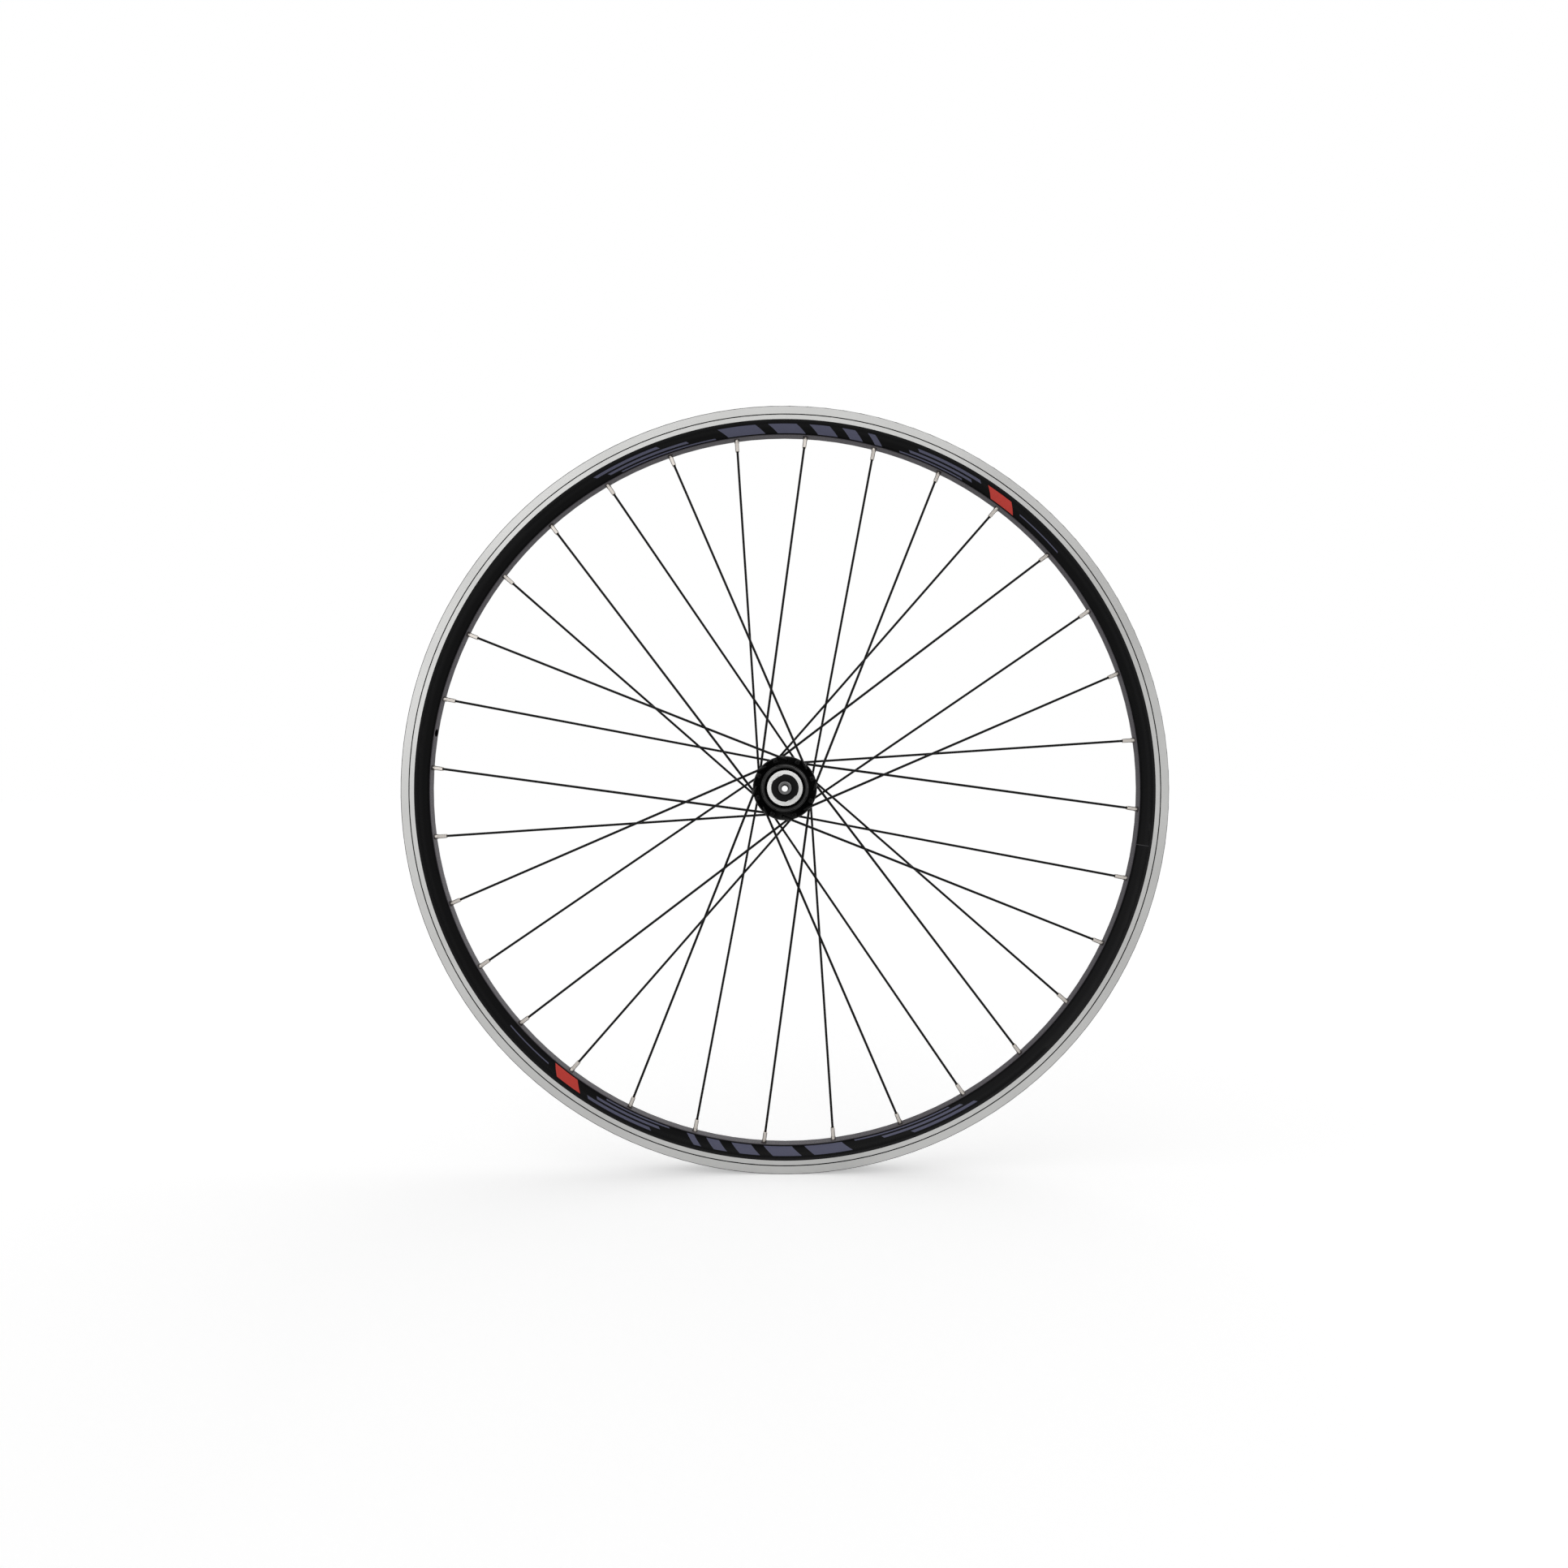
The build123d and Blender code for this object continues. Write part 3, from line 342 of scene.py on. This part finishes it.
def rim_finish():
    """Satin black rim with two bare, turned brake tracks."""
    finish = Finish("rim_black_and_bare_track", Specular_IOR_Level=SATIN_SPECULAR)
    radius = finish.radius()
    across = finish.math("ABSOLUTE", finish.axis("Y"))
    grain = finish.noise(SATIN_GRAIN_SCALE)
    lines = finish.turned_lines(TRACK_LINE_PITCH)
    bare = bare_track(finish, radius, across)
    paint = rim_paint(finish, radius, across, grain)
    finish.set("Base Color", finish.blend(bare, paint, track_metal(finish, lines)))
    finish.set("Metallic", bare)
    satin = finish.vary(grain, *SATIN_ROUGHNESS)
    turned = finish.vary(lines, *TRACK_ROUGHNESS)
    to_turned = finish.math("MULTIPLY", bare, finish.math("SUBTRACT", turned, satin))
    finish.set("Roughness", finish.math("ADD", satin, to_turned))
    finish.bump(lines, TRACK_BUMP, COAT_BUMP_DEPTH)
    return finish.material


def black_finish(name, colour, roughness, specular, grain_scale, bump):
    """Black coated metal with a slight grain."""
    finish = Finish(name, Specular_IOR_Level=specular)
    grain = finish.noise(grain_scale)
    pale = [part * COAT_PALE_SIDE for part in colour]
    finish.set("Base Color", finish.blend(grain, colour, pale))
    finish.roughen(grain, roughness, COAT_SWING)
    finish.bump(grain, bump, COAT_BUMP_DEPTH)
    return finish.material


def metal_finish(name, dark, bright, roughness, pitch=None):
    """Bare or plated metal with faint stains, and turned rings where a pitch is given."""
    finish = Finish(name, Metallic=1.0)
    grain = finish.turned_lines(pitch) if pitch else finish.noise(METAL_GRAIN_SCALE)
    grain_part = finish.math("MULTIPLY", grain, METAL_GRAIN_SHARE)
    stain = finish.noise(METAL_STAIN_SCALE)
    stain_part = finish.math("MULTIPLY", stain, 1 - METAL_GRAIN_SHARE)
    tone = finish.math("ADD", grain_part, stain_part)
    finish.set("Base Color", finish.blend(finish.vary(tone), dark, bright))
    finish.roughen(tone, roughness, METAL_SWING)
    finish.bump(grain, METAL_BUMP, METAL_BUMP_DEPTH)
    return finish.material


def print_finish(name, colour):
    """Ink under lacquer, with the slight mottling of a screen print."""
    finish = Finish(name, Specular_IOR_Level=INK_SPECULAR)
    mottle = finish.noise(INK_MOTTLE_SCALE)
    deep = [part * INK_DARK_SIDE for part in colour]
    finish.set("Base Color", finish.blend(mottle, deep, colour))
    finish.set("Roughness", finish.vary(mottle, *INK_ROUGHNESS))
    return finish.material


def wheel_finishes():
    """Every material of the wheel, by a word for what it covers."""
    return {
        "rim": rim_finish(),
        "spoke": black_finish(
            "spoke_black", (0.002, 0.002, 0.0021),
            roughness=0.25, specular=0.1, grain_scale=1500.0, bump=0.08,
        ),
        "shell": black_finish(
            "hub_gloss_black", (0.0012, 0.0012, 0.0013),
            roughness=0.06, specular=0.25, grain_scale=700.0, bump=0.02,
        ),
        "nut": black_finish(
            "locknut_black_oxide", (0.006, 0.006, 0.0062),
            roughness=0.42, specular=0.1, grain_scale=2600.0, bump=0.5,
        ),
        "washer": black_finish(
            "spacer_black", (0.004, 0.004, 0.004),
            roughness=0.35, specular=0.2, grain_scale=1800.0, bump=0.2,
        ),
        "nipple": metal_finish(
            "nipple_nickel", (0.43, 0.40, 0.37), (0.59, 0.555, 0.515), roughness=0.22,
        ),
        "cap": metal_finish(
            "cap_bright", (0.86, 0.86, 0.85), (0.96, 0.96, 0.95),
            roughness=0.55, pitch=0.25 * MM,
        ),
        "steel": metal_finish(
            "axle_steel", (0.11, 0.11, 0.112), (0.19, 0.19, 0.19),
            roughness=0.34, pitch=0.3 * MM,
        ),
        "driver": metal_finish(
            "driver_steel", (0.22, 0.22, 0.225), (0.34, 0.34, 0.34),
            roughness=0.36, pitch=0.3 * MM,
        ),
        "ball": metal_finish(
            "ball_chrome", (0.62, 0.62, 0.63), (0.72, 0.72, 0.73), roughness=0.08,
        ),
        "violet": print_finish("stripe_grey_violet", (0.100, 0.103, 0.165)),
        "red": print_finish("stripe_red", (0.68, 0.055, 0.04)),
        "seam": print_finish("seam_grey", (0.035, 0.035, 0.037)),
    }


FINISHES = wheel_finishes()

# Word in a node's name and the finish it calls for, first match first; the rest is steel
FINISH_WORDS = {
    "nipples": "nipple", "spoke": "spoke", "rim": "rim", "shell": "shell", "locknut": "nut",
    "spacer": "washer", "cap": "cap", "balls": "ball", "driver": "driver",
}


def finish_of(node):
    """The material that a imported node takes."""
    for word, finish in FINISH_WORDS.items():
        if word in node:
            return FINISHES[finish]
    return FINISHES["steel"]


def linked_object(name, bm, material):
    """An object of the scene from a bmesh, with its place in its mesh."""
    mesh = bpy.data.meshes.new(name)
    bm.to_mesh(mesh)
    bm.free()
    mesh.materials.append(material)
    made = bpy.data.objects.new(name, mesh)
    bpy.context.scene.collection.objects.link(made)
    return made


def piece(name, bm, finish, body):
    """A piece of the wheel, smooth but for its sharp edges, riding on a body."""
    made = linked_object(name, bm, FINISHES[finish])
    made.data.shade_smooth()
    made.data.set_sharp_from_angle(angle=math.radians(SHARP_ANGLE))
    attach(made, body)


def about_axle(angle):
    """Turn about the axle."""
    return Matrix.Rotation(math.radians(-angle), 4, "Y")


def wall_arc(upper, lower):
    """Points just above the side wall between two shares of its arc: (radius, distance out)."""
    top, foot = Vector(WALL_TOP), Vector(WALL_FOOT)
    chord = foot - top
    out = Vector((chord.y, -chord.x)).normalized()
    half = chord.length / 2
    bend = (half * half + WALL_BULGE * WALL_BULGE) / (2 * WALL_BULGE)
    centre = (top + foot) / 2 + out * (WALL_BULGE - bend)
    sweep = 2 * math.asin(half / bend)
    points = []
    for k in range(STRIPE_SEGMENTS + 1):
        share = upper + (lower - upper) * k / STRIPE_SEGMENTS
        turn = Matrix.Rotation((share - 0.5) * sweep, 2)
        points.append(centre + turn @ (out * (bend + STRIPE_LIFT)))
    return points


def wall_patch(bm, side, start, end, height, slant=0.0):
    """Adds a slanted patch that lies on the side wall between two angles."""
    verts = [bm.verts.new((x, side * y, 0)) for x, y in wall_arc(*height)]
    edges = [bm.edges.new(pair) for pair in zip(verts, verts[1:])]
    bmesh.ops.rotate(bm, verts=verts, matrix=about_axle(start), cent=ORIGIN)
    bmesh.ops.spin(
        bm, geom=verts + edges, cent=ORIGIN, axis=(0, -1, 0), angle=math.radians(end - start),
        steps=max(2, round((end - start) / STRIPE_STEP)), use_merge=False,
    )
    middle = (WALL_TOP[0] + WALL_FOOT[0]) / 2
    tall = WALL_TOP[0] - WALL_FOOT[0]
    # A tag marks the points of earlier patches, which have their slant already
    for vert in bm.verts:
        if not vert.tag:
            rise = (math.hypot(vert.co.x, vert.co.z) - middle) / tall
            vert.co = about_axle(slant * rise) @ vert.co
            vert.tag = True


def thicken_patches(bm):
    """Makes the patches closed sheets."""
    bmesh.ops.recalc_face_normals(bm, faces=bm.faces)
    bmesh.ops.solidify(bm, geom=bm.faces[:], thickness=STRIPE_THICKNESS)
    bmesh.ops.recalc_face_normals(bm, faces=bm.faces)


def label_stripes():
    """Stripes of one label: the long ones, and bars that get narrower."""
    stripes = list(LONG_STRIPES)
    start = BARS_START
    for width in BAR_WIDTHS:
        stripes.append((start, start + width, FULL_HEIGHT))
        start += width + BAR_GAP
    return stripes


def rim_labels():
    """Plain slanted stripes and one red bar on both side walls, twice round the rim."""
    for side, name in SIDE_NAMES.items():
        for kind, stripes, finish in (
            ("stripes", label_stripes(), "violet"),
            ("bars", [RED_BAR], "red"),
        ):
            bm = bmesh.new()
            for first in LABEL_STARTS:
                for start, end, height in stripes:
                    wall_patch(bm, side, first - end, first - start, height, STRIPE_SLANT)
            thicken_patches(bm)
            piece(f"{name}_rim_{kind}", bm, finish, "wheel")


def rim_seams():
    """Fine line where the rim's ends meet, opposite the valve hole."""
    for side, name in SIDE_NAMES.items():
        bm = bmesh.new()
        start = SEAM_ANGLE - SEAM_HALF_ANGLE
        end = SEAM_ANGLE + SEAM_HALF_ANGLE
        wall_patch(bm, side, start, end, SEAM_HEIGHT)
        thicken_patches(bm)
        piece(f"{name}_rim_seam", bm, "seam", "wheel")


def thread(name, base, crest, start, end, finish, body):
    """Screw thread: a ridge between two radii, wound round the axle between two places."""
    bm = bmesh.new()
    corners = ((base, start - THREAD_FLANK), (crest, start), (base, start + THREAD_FLANK))
    verts = [bm.verts.new((x, y, 0)) for x, y in corners]
    edges = [bm.edges.new((verts[k], verts[k - 1])) for k in range(len(verts))]
    turns = abs(end - start) / THREAD_PITCH
    steps = round(turns * THREAD_STEPS)
    bmesh.ops.spin(
        bm, geom=verts + edges, cent=ORIGIN, axis=(0, 1, 0), angle=math.tau * turns,
        steps=steps, dvec=(0, (end - start) / steps, 0), use_merge=False,
    )
    open_edges = [edge for edge in bm.edges if edge.is_boundary]
    bmesh.ops.holes_fill(bm, edges=open_edges, sides=len(corners))
    bmesh.ops.recalc_face_normals(bm, faces=bm.faces)
    piece(name, bm, finish, body)


def threads():
    """Threads on the axle's ends and in the driver's mouth."""
    for side, name in SIDE_NAMES.items():
        thread(
            f"{name}_axle_thread", AXLE_END_RADIUS - THREAD_SINK, AXLE_CREST_RADIUS,
            side * (LOCKNUT_FACE + AXLE_THREAD_INSET), side * (AXLE_END - AXLE_THREAD_RUNOUT),
            "steel", "axle_set",
        )
    thread(
        "driver_mouth_thread", MOUTH_RADIUS + THREAD_SINK, MOUTH_RADIUS - MOUTH_THREAD_HEIGHT,
        DRIVER_END - MOUTH_THREAD_DEPTH, DRIVER_END - MOUTH_THREAD_RUNOUT,
        "driver", "driver",
    )


def locknut_teeth():
    """Ring of fine teeth on each locknut's outer face, to grip a bicycle's dropout."""
    length = TOOTH_OUTER_RADIUS - TOOTH_INNER_RADIUS
    middle = (TOOTH_INNER_RADIUS + TOOTH_OUTER_RADIUS) / 2
    flatten = (1, TOOTH_HEIGHT / TOOTH_SECTION_HEIGHT, 1)
    last_turn = math.tau * (TOOTH_COUNT - 1) / TOOTH_COUNT
    for side, name in SIDE_NAMES.items():
        bm = bmesh.new()
        bmesh.ops.create_cone(
            bm, cap_ends=True, segments=3, depth=length,
            radius1=TOOTH_SECTION_RADIUS, radius2=TOOTH_SECTION_RADIUS,
        )
        bmesh.ops.scale(bm, vec=flatten, verts=bm.verts)
        lay_down = Matrix.Rotation(math.radians(90), 3, "Y")
        bmesh.ops.rotate(bm, verts=bm.verts, matrix=lay_down, cent=ORIGIN)
        low = min(side * vert.co.y for vert in bm.verts)
        place = (middle, side * (LOCKNUT_FACE - low - TOOTH_SINK), 0)
        bmesh.ops.translate(bm, verts=bm.verts, vec=place)
        bmesh.ops.spin(
            bm, geom=bm.verts[:] + bm.edges[:] + bm.faces[:], cent=ORIGIN, axis=(0, 1, 0),
            angle=last_turn, steps=TOOTH_COUNT - 1, use_duplicate=True,
        )
        bmesh.ops.recalc_face_normals(bm, faces=bm.faces)
        piece(f"{name}_locknut_teeth", bm, "nut", "axle_set")


def floor_finish():
    """Pale floor that shows as white and still takes the wheel's shadow."""
    finish = Finish("pale_floor", Specular_IOR_Level=0.0, Roughness=FLOOR_ROUGHNESS)
    finish.set("Base Color", FLOOR_COLOUR)
    finish.set("Emission Color", WHITE)
    finish.set("Emission Strength", finish.math("MULTIPLY", finish.shown(), FLOOR_GLOW))
    return finish.material


def studio_floor():
    """Wide floor under the wheel."""
    bm = bmesh.new()
    bmesh.ops.create_grid(bm, x_segments=1, y_segments=1, size=FLOOR_HALF)
    bmesh.ops.translate(bm, verts=bm.verts, vec=(0, 0, FLOOR_HEIGHT))
    linked_object("floor", bm, floor_finish())


def studio_world():
    """Surroundings that show as white and light the wheel at a plain level."""
    world = bpy.data.worlds.new("white_studio")
    world.use_nodes = True
    bpy.context.scene.world = world
    shading = Shading(world.node_tree)
    background = world.node_tree.nodes["Background"].inputs
    shading.feed(background["Color"], WHITE)
    level = shading.spread(shading.shown(), 0.0, 1.0, WORLD_LIGHT, WORLD_SHOWN)
    shading.feed(background["Strength"], level)


def studio_lamps():
    """Two wide soft lamps, one for each face of the wheel, pointed at its middle."""
    for name, (place, strength) in LAMPS.items():
        lamp = bpy.data.lights.new(name, "SUN")
        lamp.energy = strength
        lamp.angle = math.radians(LAMP_SPREAD)
        holder = bpy.data.objects.new(name, lamp)
        holder.location = place
        holder.rotation_euler = (-Vector(place)).to_track_quat("-Z", "Y").to_euler()
        bpy.context.scene.collection.objects.link(holder)


def dark_cards():
    """Dark card before each face of the wheel, which shows only in its gloss."""
    black = black_finish(
        "card_black", (0.01, 0.01, 0.01),
        roughness=0.8, specular=0.0, grain_scale=5.0, bump=0.0,
    )
    for side, name in SIDE_NAMES.items():
        bm = bmesh.new()
        bmesh.ops.create_grid(bm, x_segments=1, y_segments=1, size=CARD_HALF)
        stand_up = Matrix.Rotation(math.radians(90), 3, "X")
        bmesh.ops.rotate(bm, verts=bm.verts, matrix=stand_up, cent=ORIGIN)
        bmesh.ops.translate(bm, verts=bm.verts, vec=(0, side * CARD_DISTANCE, 0))
        card = linked_object(f"{name}_dark_card", bm, black)
        card.visible_camera = False
        card.visible_diffuse = False
        card.visible_shadow = False


def photo_camera():
    """Camera at the photograph's viewing angle."""
    lens = bpy.data.cameras.new("camera")
    lens.sensor_width = SENSOR
    lens.lens = FOCAL_PIXELS / PHOTO_PIXELS * SENSOR
    lens.clip_start = CLIP_START
    camera = bpy.data.objects.new("camera", lens)
    camera.location = CAMERA_PLACE
    camera.rotation_euler = (math.radians(90 + CAMERA_TILT), 0, 0)
    bpy.context.scene.collection.objects.link(camera)
    bpy.context.scene.camera = camera


for node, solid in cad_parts.items():
    solid.data.materials.clear()
    solid.data.materials.append(finish_of(node))
rim_labels()
rim_seams()
threads()
locknut_teeth()
studio_floor()
studio_world()
studio_lamps()
dark_cards()
photo_camera()
bpy.context.scene.view_settings.view_transform = "Standard"
